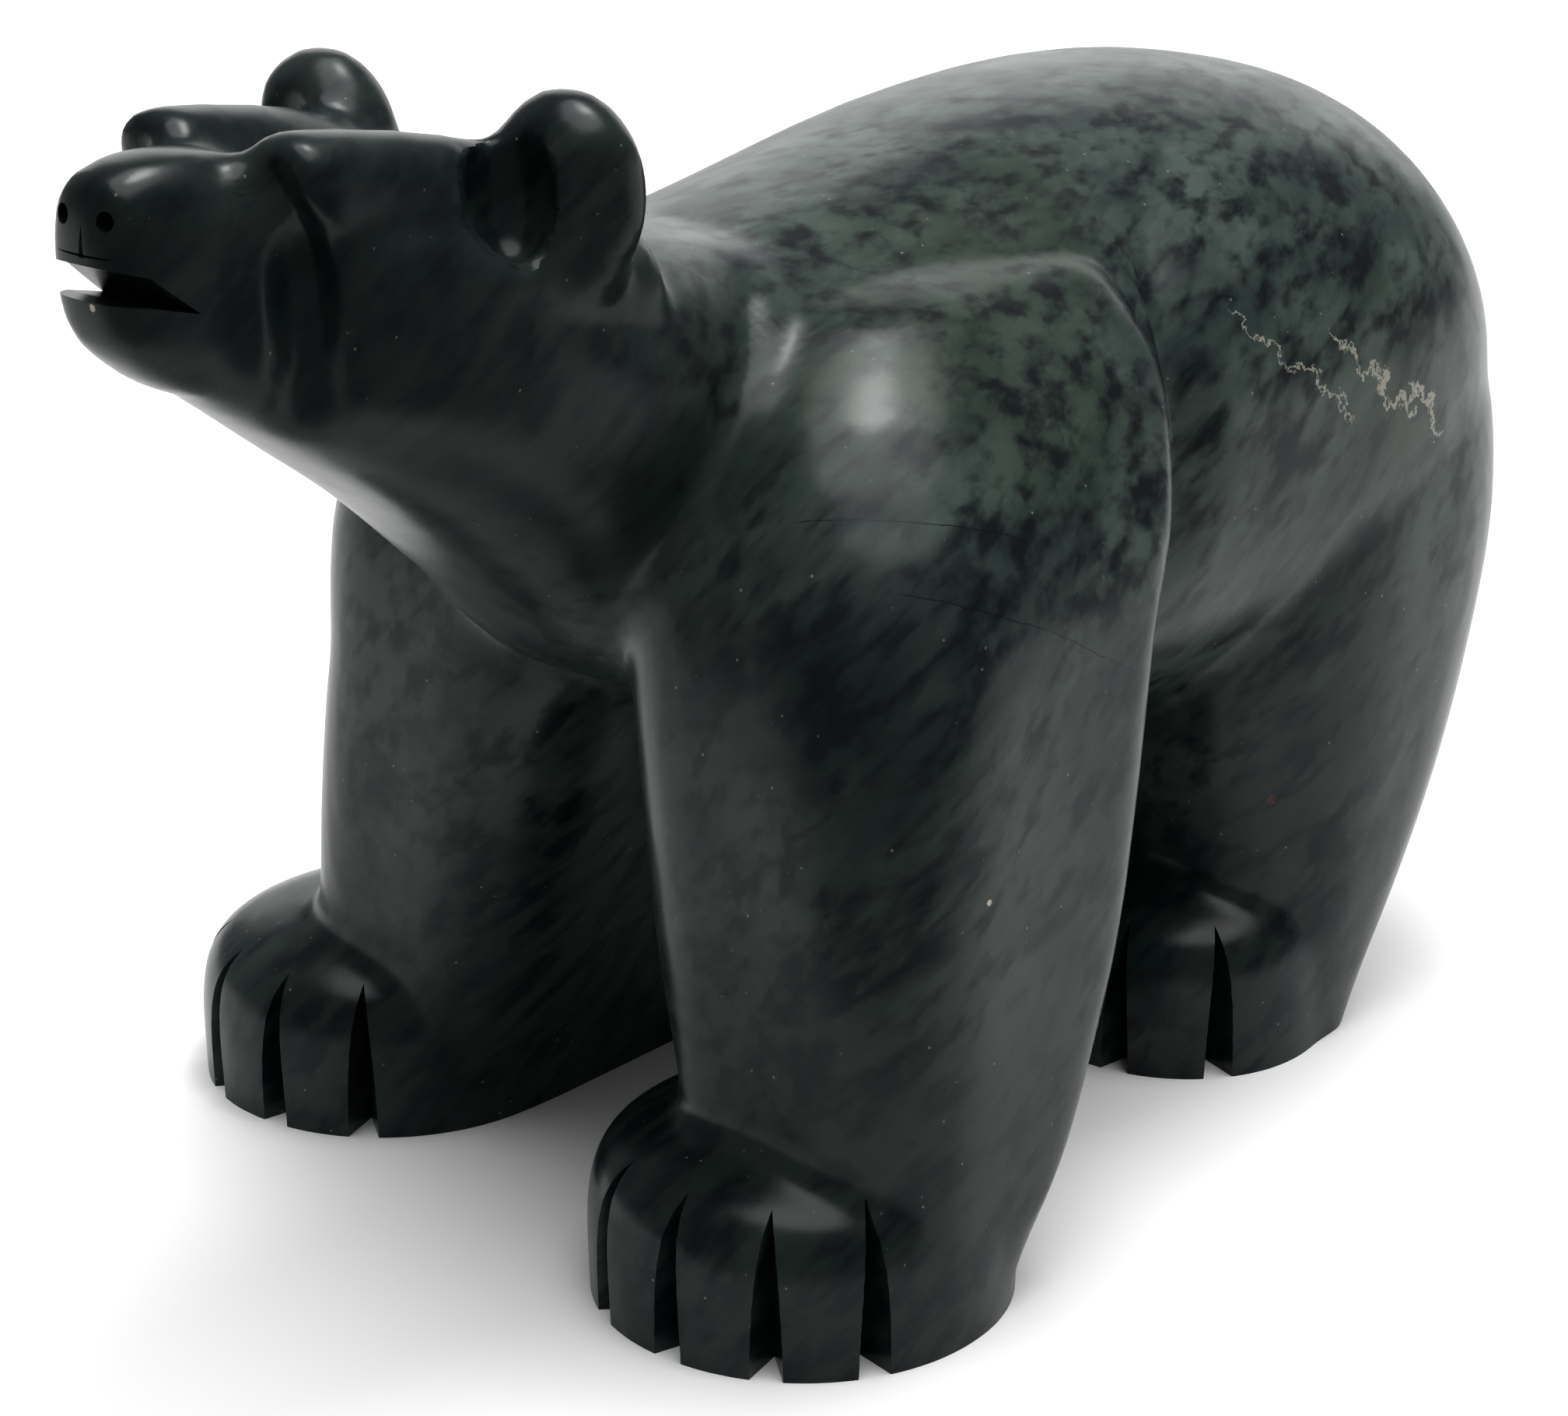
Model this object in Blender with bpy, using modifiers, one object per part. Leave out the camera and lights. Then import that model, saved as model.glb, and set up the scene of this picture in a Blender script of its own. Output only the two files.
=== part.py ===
"""A bear carved in one piece from dark green soapstone, standing on four flat soles.

The bear faces -Y and its left side is +X. The origin is under the middle of its box, on the ground.
The figure is given in shares of LENGTH: the middle of the trunk is at x = 0, the left front toes
are near y = 0 and the ground is z = 0. It is moved to its origin at the very end.
"""

import math

import bmesh
import bpy
import numpy as np
from mathutils import Matrix, Vector
from mathutils.bvhtree import BVHTree

# Driving dimensions, in metres
LENGTH = 0.380              # nose to rump, and the unit of every share below
TOE_SLOT_WIDTH = 0.0080     # a toe slot at its open front
TOE_SLOT_DEPTH = 0.0100     # how far a toe slot is cut back into the foot
NOSTRIL_DIAMETER = 0.0034   # two drilled holes
NOSTRIL_DEPTH = 0.0045
MOUTH_GAP = 0.0056          # between the lips at the front
LIP_GROOVE_WIDTH = 0.0016   # saw cut between nose and upper lip
LIP_GROOVE_DEPTH = 0.0014
UPPER_LIP = 0.0016          # stone left between the mouth and that groove's middle
SURFACE_STEP = 0.0022       # grain of the surface while the masses are joined
FACES_BEFORE_CUTS = 6900    # triangles left before the slots and holes are cut
FIRST_POLISH = 6            # strokes of smoothing over the joined masses
SECOND_POLISH = 1           # the same after the ears are hollowed
LAST_POLISH = 2             # the same after the creases
SHARP_ANGLE = 35.0          # degrees, above which an edge is left sharp

STONE_COLOUR = (0.030, 0.042, 0.037, 1.0)
STONE_ROUGHNESS = 0.28
STONE_METALLIC = 0.0

LEFT = 1.0
RIGHT = -1.0

# Masses that run from head to tail: (y, underside, top, half width)
TRUNK = [
    (0.06, 0.315, 0.505, 0.095),
    (0.14, 0.262, 0.518, 0.150),
    (0.25, 0.222, 0.532, 0.174),
    (0.38, 0.195, 0.550, 0.190),
    (0.50, 0.185, 0.554, 0.198),
    (0.60, 0.190, 0.541, 0.192),
    (0.67, 0.205, 0.512, 0.166),
    (0.718, 0.235, 0.462, 0.122),
]
NECK = [
    (0.24, 0.300, 0.520, 0.140),
    (0.15, 0.290, 0.519, 0.129),
    (0.06, 0.304, 0.538, 0.111),
    (0.00, 0.359, 0.562, 0.103),
    (-0.06, 0.412, 0.580, 0.096),
    (-0.12, 0.455, 0.590, 0.078),
    (-0.175, 0.492, 0.588, 0.040),
]
HEAD = [
    (0.03, 0.450, 0.566, 0.094),
    (-0.04, 0.466, 0.584, 0.094),
    (-0.09, 0.476, 0.592, 0.088),
    (-0.125, 0.484, 0.596, 0.077),
    (-0.150, 0.496, 0.594, 0.062),
]
SNOUT = [
    (-0.05, 0.480, 0.580, 0.056),
    (-0.12, 0.484, 0.594, 0.045),
    (-0.17, 0.496, 0.609, 0.037),
    (-0.205, 0.508, 0.613, 0.032),
    (-0.232, 0.528, 0.608, 0.027),
]
# Masses that stand up, for the left side: (z, front, back, inner, outer)
FRONT_LEG = [
    (-0.03, 0.030, 0.108, 0.080, 0.232),
    (0.02, 0.029, 0.136, 0.078, 0.238),
    (0.06, 0.028, 0.166, 0.074, 0.241),
    (0.107, 0.024, 0.188, 0.069, 0.243),
    (0.18, 0.016, 0.210, 0.058, 0.247),
    (0.26, 0.012, 0.222, 0.050, 0.249),
    (0.34, 0.014, 0.235, 0.038, 0.248),
    (0.39, 0.026, 0.266, 0.030, 0.236),
    (0.45, 0.062, 0.304, 0.020, 0.198),
    (0.487, 0.115, 0.310, 0.015, 0.155),
]
HIND_LEG = [
    (-0.03, 0.444, 0.552, 0.020, 0.176),
    (0.02, 0.446, 0.566, 0.020, 0.184),
    (0.08, 0.444, 0.609, 0.020, 0.190),
    (0.14, 0.434, 0.650, 0.018, 0.194),
    (0.21, 0.420, 0.683, 0.014, 0.197),
    (0.29, 0.420, 0.704, 0.006, 0.198),
    (0.37, 0.430, 0.704, 0.000, 0.186),
    (0.43, 0.450, 0.680, 0.000, 0.150),
]
# A foot is round in plan: (z, share of its radius)
FOOT = [
    (-0.03, 0.98),
    (0.030, 1.00),
    (0.055, 0.99),
    (0.070, 0.955),
    (0.080, 0.89),
    (0.088, 0.78),
    (0.095, 0.64),
    (0.101, 0.47),
    (0.106, 0.25),
]
# Each leg: its column and side, how far that stands back and, at the ground, out, how much longer
# its heel is, the middle and radius of its foot, where its toes point and how far apart their slots
# are, in degrees
LEGS = [
    (FRONT_LEG, LEFT, 0.0, 0.0, 0.0, (0.134, 0.081), 0.110, 16.0, 28.5),
    (FRONT_LEG, RIGHT, 0.048, 0.030, 0.125, (-0.217, 0.136), 0.109, -8.0, 29.0),
    (HIND_LEG, LEFT, 0.0, 0.0, 0.0, (0.097, 0.470), 0.088, -9.0, 40.0),
    (HIND_LEG, RIGHT, -0.020, 0.006, 0.0, (-0.112, 0.456), 0.087, 6.0, 36.0),
]
RIGHT_FRONT = 1             # its place in the list
LEG_LEANS_IN = 0.95         # how far in it leans at its top, as a share of its stand out
LEG_LEANS_FROM = 0.14       # height where a leg that stands out at the ground starts to lean in
HEEL_ENDS_AT = 0.28         # height where a longer heel ends in the leg

# A brow runs from the ear to the snout, on the left side: (x, y, z, half width, half height)
BROW = [
    (0.064, 0.000, 0.562, 0.022, 0.022),
    (0.053, -0.045, 0.575, 0.024, 0.024),
    (0.045, -0.095, 0.584, 0.026, 0.027),
    (0.041, -0.153, 0.592, 0.026, 0.028),
]
# An ear and its hollow: middle and radii. Its facet: a place on it and the way it faces
EAR = ((0.079, -0.021, 0.573), (0.042, 0.031, 0.051))
EAR_HOLLOW = ((0.077, -0.057, 0.580), (0.020, 0.021, 0.034))
EAR_FACET = ((0.103, -0.031, 0.573), (0.88, -0.42, -0.22))

# Strokes of the rasp, on the left side: points, radius, depth and the side that the stroke lowers;
# without a side it is a soft hollow
FLANK_STROKE = 0            # behind the front leg; it follows the leg's stride
STROKES = [
    ([(0.113, 0.363, 0.517), (0.136, 0.343, 0.486), (0.159, 0.331, 0.452), (0.170, 0.327, 0.420),
      (0.180, 0.320, 0.376), (0.181, 0.306, 0.330), (0.178, 0.284, 0.260)], 0.050, 0.014, (-0.3, 1, 0)),
    ([(0.056, 0.138, 0.520), (0.080, 0.110, 0.505), (0.095, 0.092, 0.486), (0.106, 0.074, 0.466),
      (0.112, 0.050, 0.438), (0.108, 0.034, 0.414), (0.097, 0.024, 0.391), (0.073, 0.021, 0.359),
      (0.054, 0.036, 0.318)], 0.045, 0.007, (-0.7, -0.7, 0)),
    ([(0.022, -0.182, 0.620), (0.044, -0.172, 0.600), (0.054, -0.164, 0.570), (0.053, -0.160, 0.538),
      (0.046, -0.154, 0.505), (0.030, -0.146, 0.475)], 0.022, 0.015, None),
    ([(0.0, -0.165, 0.612), (0.0, -0.080, 0.600), (0.0, -0.010, 0.580)], 0.030, 0.005, None),
]
EDGE = 0.007                # how far a stroke that lowers one side takes to fall, in shares
EDGE_FADE = 1.6             # how fast its lowered side comes up again
STROKE_START = 0.20         # share of a stroke over which it sinks in
STROKE_END = 0.25           # share over which it comes out

# How square each mass is across: 2 is a round section, and more is squarer
TRUNK_SQUARENESS = 2.15
NECK_SQUARENESS = 2.2
HEAD_SQUARENESS = 2.45
SNOUT_SQUARENESS = 2.8
BROW_SQUARENESS = 2.2
FRONT_LEG_SQUARENESS = (2.6, 5.0)    # its front half and its back half
HIND_LEG_SQUARENESS = (2.4, 2.4)
ROUND = 2.0
# How far each mass rounds off past its first and last row, in shares
TRUNK_ENDS = (0.05, 0.028)
NECK_ENDS = (0.0, 0.02)
HEAD_ENDS = (0.02, 0.012)
SNOUT_ENDS = (0.0, 0.008)
BROW_ENDS = (0.01, 0.026)
LEG_ENDS = (0.0, 0.025)

TOE_SLOTS = 4               # in each foot
TOE_SLOT_FOOT = -0.013      # the slots start below the ground
TOE_SLOT_TOP = 0.089
CUTTER_OVERRUN = 0.024      # how far the cutters of slots and grooves stand out in front
TOE_SLOT_LEAN = 0.008       # how much less deep a slot is at its top
TOE_SLOT_NARROWS = 0.55     # how much narrower it is there, as a share of its width
TOE_SLOT_BOW = 1.5          # above 1, most of that comes near the top

# The corners of the mouth, as (y, z): its corner in the cheek, the lower lip and the front
MOUTH_CORNER = (-0.202, 0.546)
LOWER_LIP = (-0.226, 0.552)
LOWER_FRONT = (-0.262, 0.556)
UPPER_LIP_OPENING = 0.9     # of the mouth's gap, over the lower lip
UPPER_FRONT_OPENING = 1.35  # of the mouth's gap, at the front
MOUTH_HALF_WIDTH = 0.07
LIP_GROOVE_HALF_WIDTH = 0.05
NOSTRIL_SPREAD = 0.0135     # each nostril from the middle
NOSTRIL_RISE = 0.016        # each nostril above the groove under the nose

GROUND_MIDDLE = (0.0, 0.25)
GROUND_SIZE = (1.4, 2.2, 0.2)


def reset_scene():
    for thing in list(bpy.data.objects):
        bpy.data.objects.remove(thing, do_unlink=True)


def collection(name):
    group = bpy.data.collections.new(name)
    bpy.context.scene.collection.children.link(group)
    return group


def add_object(name, body, group):
    """Turns a bmesh into an object, with its faces pointing out."""
    bmesh.ops.recalc_face_normals(body, faces=body.faces)
    mesh = bpy.data.meshes.new(name)
    body.to_mesh(mesh)
    body.free()
    thing = bpy.data.objects.new(name, mesh)
    group.objects.link(thing)
    return thing


def row_at(rows, t):
    """A smooth curve through rows of numbers: t is 0 at the first row and 1 at the last."""
    last = len(rows) - 1
    place = min(t * last, last - 1e-9)
    i = int(place)
    u = place - i
    a = rows[max(i - 1, 0)]
    b = rows[i]
    c = rows[i + 1]
    d = rows[min(i + 2, last)]
    return [
        0.5 * (2 * q + (r - p) * u + (2 * p - 5 * q + 4 * r - s) * u * u
               + (3 * q - p - 3 * r + s) * u ** 3)
        for p, q, r, s in zip(a, b, c, d)
    ]


def stack(body, rings, squareness, around=48):
    """Adds a closed skin over rings given as (centre, half side, half up), in shares.

    The squareness is one for each half of the ring, against its up side and along it.
    """
    previous = None
    for centre, side, up in rings:
        ring = []
        for k in range(around):
            angle = 2 * math.pi * k / around
            c = math.cos(angle)
            s = math.sin(angle)
            power = 2 / squareness[1 if s > 0 else 0]
            x = math.copysign(abs(c) ** power, c)
            y = math.copysign(abs(s) ** power, s)
            ring.append(body.verts.new((centre + side * x + up * y) * LENGTH))
        if previous:
            for k in range(around):
                n = (k + 1) % around
                body.faces.new((previous[k], previous[n], ring[n], ring[k]))
        else:
            body.faces.new(ring[::-1])
        previous = ring
    body.faces.new(previous)


def domed(rings, first, last, steps=6):
    """Rounds both ends of a row of rings off, by the given lengths."""
    out = list(rings)
    ends = (
        (rings[0], rings[1], first, True),
        (rings[-1], rings[-2], last, False),
    )
    for ring, inner, length, front in ends:
        if length == 0.0:
            continue
        centre, side, up = ring
        way = (centre - inner[0]).normalized()
        for k in range(1, steps):
            angle = math.pi / 2 * k / steps
            shrink = math.cos(angle)
            cap = (centre + way * length * math.sin(angle), side * shrink, up * shrink)
            if front:
                out.insert(0, cap)
            else:
                out.append(cap)
    return out


def barrel(body, rows, squareness, domes, count=28):
    """A mass that runs along Y, from rows of (y, underside, top, half width)."""
    rings = []
    for i in range(count):
        y, low, high, wide = row_at(rows, i / (count - 1))
        centre = Vector((0, y, (low + high) / 2))
        rings.append((centre, Vector((wide, 0, 0)), Vector((0, 0, (high - low) / 2))))
    stack(body, domed(rings, *domes), (squareness, squareness))


def brow(body, side, count=20):
    """The ridge from an ear to the snout."""
    rings = []
    for i in range(count):
        x, y, z, wide, high = row_at(BROW, i / (count - 1))
        rings.append((Vector((x * side, y, z)), Vector((wide, 0, 0)), Vector((0, 0, high))))
    stack(body, domed(rings, *BROW_ENDS), (BROW_SQUARENESS, BROW_SQUARENESS))


def column(body, rows, side, stride, spread, heel, squareness, count=28):
    """A mass that stands up, from rows of (z, front, back, inner, outer)."""
    rings = []
    for i in range(count):
        z, front, back, inner, outer = row_at(rows, i / (count - 1))
        out = spread * min(1.0, max(-LEG_LEANS_IN, 1 - z / LEG_LEANS_FROM))
        back += heel * min(1.0, max(0.0, 1 - z / HEEL_ENDS_AT))
        centre = Vector((side * ((inner + outer) / 2 + out), (front + back) / 2 + stride, z))
        rings.append((centre, Vector(((outer - inner) / 2, 0, 0)), Vector((0, (back - front) / 2, 0))))
    stack(body, domed(rings, *LEG_ENDS), squareness)


def foot(body, centre, size):
    rings = []
    count = 20
    for i in range(count):
        z, share = row_at(FOOT, i / (count - 1))
        radius = size * share
        rings.append((Vector((*centre, z)), Vector((radius, 0, 0)), Vector((0, radius, 0))))
    stack(body, rings, (ROUND, ROUND))


def ellipsoid(body, centre, radii, side):
    """An ellipsoid on one side of the bear."""
    place = Matrix.Translation(Vector((centre[0] * side, centre[1], centre[2])) * LENGTH)
    place = place @ Matrix.Diagonal((*(Vector(radii) * LENGTH), 1.0))
    made = bmesh.ops.create_uvsphere(body, u_segments=40, v_segments=24, radius=1.0, matrix=place)
    return made["verts"]


def ear(body, side):
    """An ear, flattened on its outer side."""
    flip = Vector((side, 1, 1))
    spot = Vector(EAR_FACET[0]) * flip * LENGTH
    way = (Vector(EAR_FACET[1]) * flip).normalized()
    for vertex in ellipsoid(body, *EAR, side):
        proud = (vertex.co - spot).dot(way)
        if proud > 0:
            vertex.co -= way * proud


def masses(group):
    body = bmesh.new()
    barrel(body, TRUNK, TRUNK_SQUARENESS, TRUNK_ENDS)
    barrel(body, NECK, NECK_SQUARENESS, NECK_ENDS)
    barrel(body, HEAD, HEAD_SQUARENESS, HEAD_ENDS)
    barrel(body, SNOUT, SNOUT_SQUARENESS, SNOUT_ENDS)
    for rows, side, stride, spread, heel, centre, size, _, _ in LEGS:
        squareness = FRONT_LEG_SQUARENESS if rows is FRONT_LEG else HIND_LEG_SQUARENESS
        column(body, rows, side, stride, spread, heel, squareness)
        foot(body, centre, size)
    for side in (LEFT, RIGHT):
        brow(body, side)
        ear(body, side)
    return add_object("bear_carving", body, group)


def finish_shape(thing):
    """Applies the modifiers of a thing to its own mesh."""
    bpy.context.view_layer.update()
    seen = thing.evaluated_get(bpy.context.evaluated_depsgraph_get())
    mesh = bpy.data.meshes.new_from_object(seen)
    thing.modifiers.clear()
    old = thing.data
    thing.data = mesh
    bpy.data.meshes.remove(old)


def join_masses(thing):
    remesh = thing.modifiers.new("one_stone", "REMESH")
    remesh.mode = "VOXEL"
    remesh.voxel_size = SURFACE_STEP
    finish_shape(thing)


def polish(thing, strokes):
    smooth = thing.modifiers.new("polish", "SMOOTH")
    smooth.factor = 0.5
    smooth.iterations = strokes
    finish_shape(thing)


def carve(thing, cutter, parts_cross=False):
    cut = thing.modifiers.new("cut", "BOOLEAN")
    cut.operation = "DIFFERENCE"
    cut.solver = "EXACT"
    cut.use_self = parts_cross
    cut.object = cutter
    finish_shape(thing)


def as_cutter(name, body, group):
    cutter = add_object(name, body, group)
    cutter.hide_render = True
    cutter.display_type = "WIRE"
    return cutter


def ear_hollows(group):
    body = bmesh.new()
    for side in (LEFT, RIGHT):
        ellipsoid(body, *EAR_HOLLOW, side)
    return as_cutter("ear_hollows", body, group)


def stroke_line(points, side, stride, skin, count=24):
    """Points along a stroke, laid on the surface of the stone, in metres."""
    line = []
    for i in range(count + 1):
        x, y, z = row_at(points, i / count)
        spot = Vector((x * side, y + stride, z)) * LENGTH
        line.append(skin.find_nearest(spot)[0])
    return np.array(line)


def eased(x):
    return x * x * (3 - 2 * x)


def stroke_depths(spots, line, reach, depth, falls):
    """How far one stroke lowers each spot: by its distance from the line, less at the line's ends."""
    near = np.full(len(spots), reach)
    beside = np.zeros(len(spots))
    place = np.zeros(len(spots))
    last = len(line) - 1
    for k in range(last):
        step = line[k + 1] - line[k]
        t = np.clip((spots - line[k]) @ step / (step @ step), 0, 1)
        away = spots - line[k] - t[:, None] * step
        far = np.linalg.norm(away, axis=1)
        nearer = far < near
        near[nearer] = far[nearer]
        place[nearer] = (k + t[nearer]) / last
        if falls is not None:
            beside[nearer] = (away @ falls)[nearer]
    x = near / reach
    ends = eased(np.clip(np.minimum(place / STROKE_START, (1 - place) / STROKE_END), 0, 1))
    if falls is None:
        return depth * ends * (1 - x * x) ** 2
    fall = eased(np.clip(beside / (2 * EDGE * LENGTH) + 0.5, 0, 1))
    return depth * ends * fall * (1 - x) ** EDGE_FADE


def rasp(thing):
    """Lowers the surface along the strokes, on both sides of the bear."""
    bpy.context.view_layer.update()
    mesh = thing.data
    spots = np.array([vertex.co for vertex in mesh.vertices])
    ways = np.array([vertex.normal for vertex in mesh.vertices])
    skin = BVHTree.FromPolygons([vertex.co for vertex in mesh.vertices],
                                [face.vertices for face in mesh.polygons])
    moved = np.zeros(len(spots))
    for side in (LEFT, RIGHT):
        for number, (points, radius, depth, falls) in enumerate(STROKES):
            if side == RIGHT and not any(x for x, _, _ in points):
                continue
            follows_leg = side == RIGHT and number == FLANK_STROKE
            line = stroke_line(points, side, LEGS[RIGHT_FRONT][2] if follows_leg else 0.0, skin)
            way = None if falls is None else np.array(falls) * (side, 1, 1)
            moved += stroke_depths(spots, line, radius * LENGTH, depth * LENGTH, way)
    spots -= ways * moved[:, None]
    mesh.vertices.foreach_set("co", spots.ravel())
    mesh.update()


def toe_slots(group):
    """Slots between the toes, V-shaped in plan, open to the front and to the ground."""
    body = bmesh.new()
    depth = TOE_SLOT_DEPTH / LENGTH
    flare = (depth + CUTTER_OVERRUN) / depth * TOE_SLOT_WIDTH / LENGTH / 2
    count = 7
    for _, _, _, _, _, centre, radius, toes, apart in LEGS:
        for number in range(TOE_SLOTS):
            way = math.radians(toes + apart * (number - (TOE_SLOTS - 1) / 2))
            outward = Vector((math.sin(way), -math.cos(way), 0))
            across = Vector((math.cos(way), math.sin(way), 0))
            previous = None
            for i in range(count):
                rise = i / (count - 1)
                z = TOE_SLOT_FOOT + (TOE_SLOT_TOP - TOE_SLOT_FOOT) * rise
                spot = Vector((*centre, z))
                half = across * flare * (1 - TOE_SLOT_NARROWS * rise ** TOE_SLOT_BOW)
                tip = spot + outward * (radius - depth + TOE_SLOT_LEAN * rise ** 2)
                front = spot + outward * (radius + CUTTER_OVERRUN)
                ring = [body.verts.new(point * LENGTH) for point in (tip, front - half, front + half)]
                if previous:
                    for k in range(3):
                        n = (k + 1) % 3
                        body.faces.new((previous[k], previous[n], ring[n], ring[k]))
                else:
                    body.faces.new(ring[::-1])
                previous = ring
            body.faces.new(previous)
    return as_cutter("toe_slots", body, group)


def wedge(body, corners, half_width):
    """A bar across the bear, from corners given as (y, z) in shares."""
    rings = []
    for x in (-half_width, half_width):
        rings.append([body.verts.new(Vector((x, y, z)) * LENGTH) for y, z in corners])
    body.faces.new(rings[0])
    body.faces.new(rings[1][::-1])
    for k in range(len(corners)):
        n = (k + 1) % len(corners)
        body.faces.new((rings[0][k], rings[1][k], rings[1][n], rings[0][n]))


def mouth_and_nose(group):
    body = bmesh.new()
    gap = MOUTH_GAP / LENGTH
    upper_front = (LOWER_FRONT[0], LOWER_FRONT[1] + gap * UPPER_FRONT_OPENING)
    upper_lip = (LOWER_LIP[0], LOWER_LIP[1] + gap * UPPER_LIP_OPENING)
    wedge(body, [MOUTH_CORNER, LOWER_LIP, LOWER_FRONT, upper_front, upper_lip], MOUTH_HALF_WIDTH)
    nose_front = SNOUT[-1][0] - SNOUT_ENDS[1]
    t = (nose_front - upper_lip[0]) / (upper_front[0] - upper_lip[0])
    mouth_top = upper_lip[1] + (upper_front[1] - upper_lip[1]) * t
    groove_height = mouth_top + UPPER_LIP / LENGTH
    groove = LIP_GROOVE_WIDTH / LENGTH / 2
    depth = LIP_GROOVE_DEPTH / LENGTH
    flare = groove * (depth + CUTTER_OVERRUN) / depth
    front = nose_front - CUTTER_OVERRUN
    bottom = (nose_front + depth, groove_height)
    low = (front, groove_height - flare)
    high = (front, groove_height + flare)
    wedge(body, [bottom, low, high], LIP_GROOVE_HALF_WIDTH)
    for side in (LEFT, RIGHT):
        spot = Vector((NOSTRIL_SPREAD * side, nose_front, groove_height + NOSTRIL_RISE)) * LENGTH
        place = Matrix.Translation(spot) @ Matrix.Rotation(math.pi / 2, 4, "X")
        bmesh.ops.create_cone(body, cap_ends=True, segments=16, radius1=NOSTRIL_DIAMETER / 2,
                              radius2=NOSTRIL_DIAMETER / 2, depth=2 * NOSTRIL_DEPTH, matrix=place)
    return as_cutter("mouth_and_nose", body, group)


def ground(group):
    """The block below the ground, which leaves four flat soles."""
    body = bmesh.new()
    size = Vector(GROUND_SIZE) * LENGTH
    middle = Vector((*GROUND_MIDDLE, -GROUND_SIZE[2] / 2)) * LENGTH
    place = Matrix.Translation(middle) @ Matrix.Diagonal((*size, 1))
    bmesh.ops.create_cube(body, size=1.0, matrix=place)
    return as_cutter("ground", body, group)


def thin_out(thing):
    bpy.context.view_layer.update()
    count = sum(len(face.vertices) - 2 for face in thing.data.polygons)
    thin = thing.modifiers.new("facets", "DECIMATE")
    thin.ratio = FACES_BEFORE_CUTS / count
    finish_shape(thing)


def stone():
    material = bpy.data.materials.new("dark_green_soapstone")
    material.use_nodes = True
    shader = material.node_tree.nodes["Principled BSDF"]
    shader.inputs["Base Color"].default_value = STONE_COLOUR
    shader.inputs["Roughness"].default_value = STONE_ROUGHNESS
    shader.inputs["Metallic"].default_value = STONE_METALLIC
    return material


def stand_on_origin(thing):
    spots = [vertex.co for vertex in thing.data.vertices]
    middle_x = (min(spot.x for spot in spots) + max(spot.x for spot in spots)) / 2
    middle_y = (min(spot.y for spot in spots) + max(spot.y for spot in spots)) / 2
    thing.data.transform(Matrix.Translation((-middle_x, -middle_y, 0.0)))
    return Vector((middle_x, middle_y, 0.0))


def build():
    reset_scene()
    group = collection("bear_carving")
    cutters = collection("cutters")
    bear = masses(group)
    join_masses(bear)
    polish(bear, FIRST_POLISH)
    carve(bear, ear_hollows(cutters))
    join_masses(bear)
    polish(bear, SECOND_POLISH)
    rasp(bear)
    polish(bear, LAST_POLISH)
    thin_out(bear)
    carve(bear, toe_slots(cutters), parts_cross=True)
    carve(bear, mouth_and_nose(cutters))
    carve(bear, ground(cutters))
    middle = stand_on_origin(bear)
    bear.data.materials.append(stone())
    bear.data.shade_smooth()
    bear.data.set_sharp_from_angle(angle=math.radians(SHARP_ANGLE))
    return bear, middle


BEAR, MIDDLE = build()
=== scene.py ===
"""A standing bear carved from one piece of polished dark green soapstone."""

import math

import bpy
import numpy as np
from mathutils import Matrix, Vector


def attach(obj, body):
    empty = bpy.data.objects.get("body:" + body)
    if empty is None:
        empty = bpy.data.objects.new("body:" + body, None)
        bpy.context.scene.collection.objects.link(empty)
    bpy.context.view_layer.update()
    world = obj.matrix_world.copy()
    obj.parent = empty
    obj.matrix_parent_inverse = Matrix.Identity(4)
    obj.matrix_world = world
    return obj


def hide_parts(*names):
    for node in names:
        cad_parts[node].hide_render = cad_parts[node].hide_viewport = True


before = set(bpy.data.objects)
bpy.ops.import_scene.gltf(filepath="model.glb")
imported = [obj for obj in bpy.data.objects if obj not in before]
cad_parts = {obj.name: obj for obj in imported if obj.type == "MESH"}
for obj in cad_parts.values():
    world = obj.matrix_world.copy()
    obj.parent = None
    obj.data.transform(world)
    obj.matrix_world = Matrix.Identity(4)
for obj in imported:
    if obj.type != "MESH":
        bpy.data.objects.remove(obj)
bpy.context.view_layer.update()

# Places on the bear are given in shares of its length, as in the part's own source
LENGTH = 0.380
FINE_GRAIN = 0.0019         # size of the mesh that the joined masses are polished on, in metres
LEFT = 1.0
RIGHT = -1.0

# Masses that run from head to tail: (y, underside, top, half width)
TRUNK = [
    (0.06, 0.315, 0.505, 0.095),
    (0.14, 0.262, 0.518, 0.150),
    (0.25, 0.222, 0.532, 0.174),
    (0.38, 0.195, 0.550, 0.190),
    (0.50, 0.185, 0.554, 0.198),
    (0.60, 0.190, 0.541, 0.192),
    (0.67, 0.205, 0.512, 0.166),
    (0.718, 0.235, 0.462, 0.122),
]
NECK = [
    (0.24, 0.300, 0.520, 0.140),
    (0.15, 0.290, 0.519, 0.129),
    (0.06, 0.304, 0.538, 0.111),
    (0.00, 0.359, 0.562, 0.103),
    (-0.06, 0.412, 0.580, 0.096),
    (-0.12, 0.455, 0.590, 0.078),
    (-0.175, 0.492, 0.588, 0.040),
]
HEAD = [
    (0.03, 0.450, 0.566, 0.094),
    (-0.04, 0.466, 0.584, 0.094),
    (-0.09, 0.476, 0.592, 0.088),
    (-0.125, 0.484, 0.596, 0.077),
    (-0.150, 0.496, 0.594, 0.062),
]
SNOUT = [
    (-0.05, 0.480, 0.580, 0.056),
    (-0.12, 0.484, 0.594, 0.045),
    (-0.17, 0.496, 0.609, 0.037),
    (-0.205, 0.508, 0.613, 0.032),
    (-0.232, 0.528, 0.608, 0.027),
]
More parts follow.
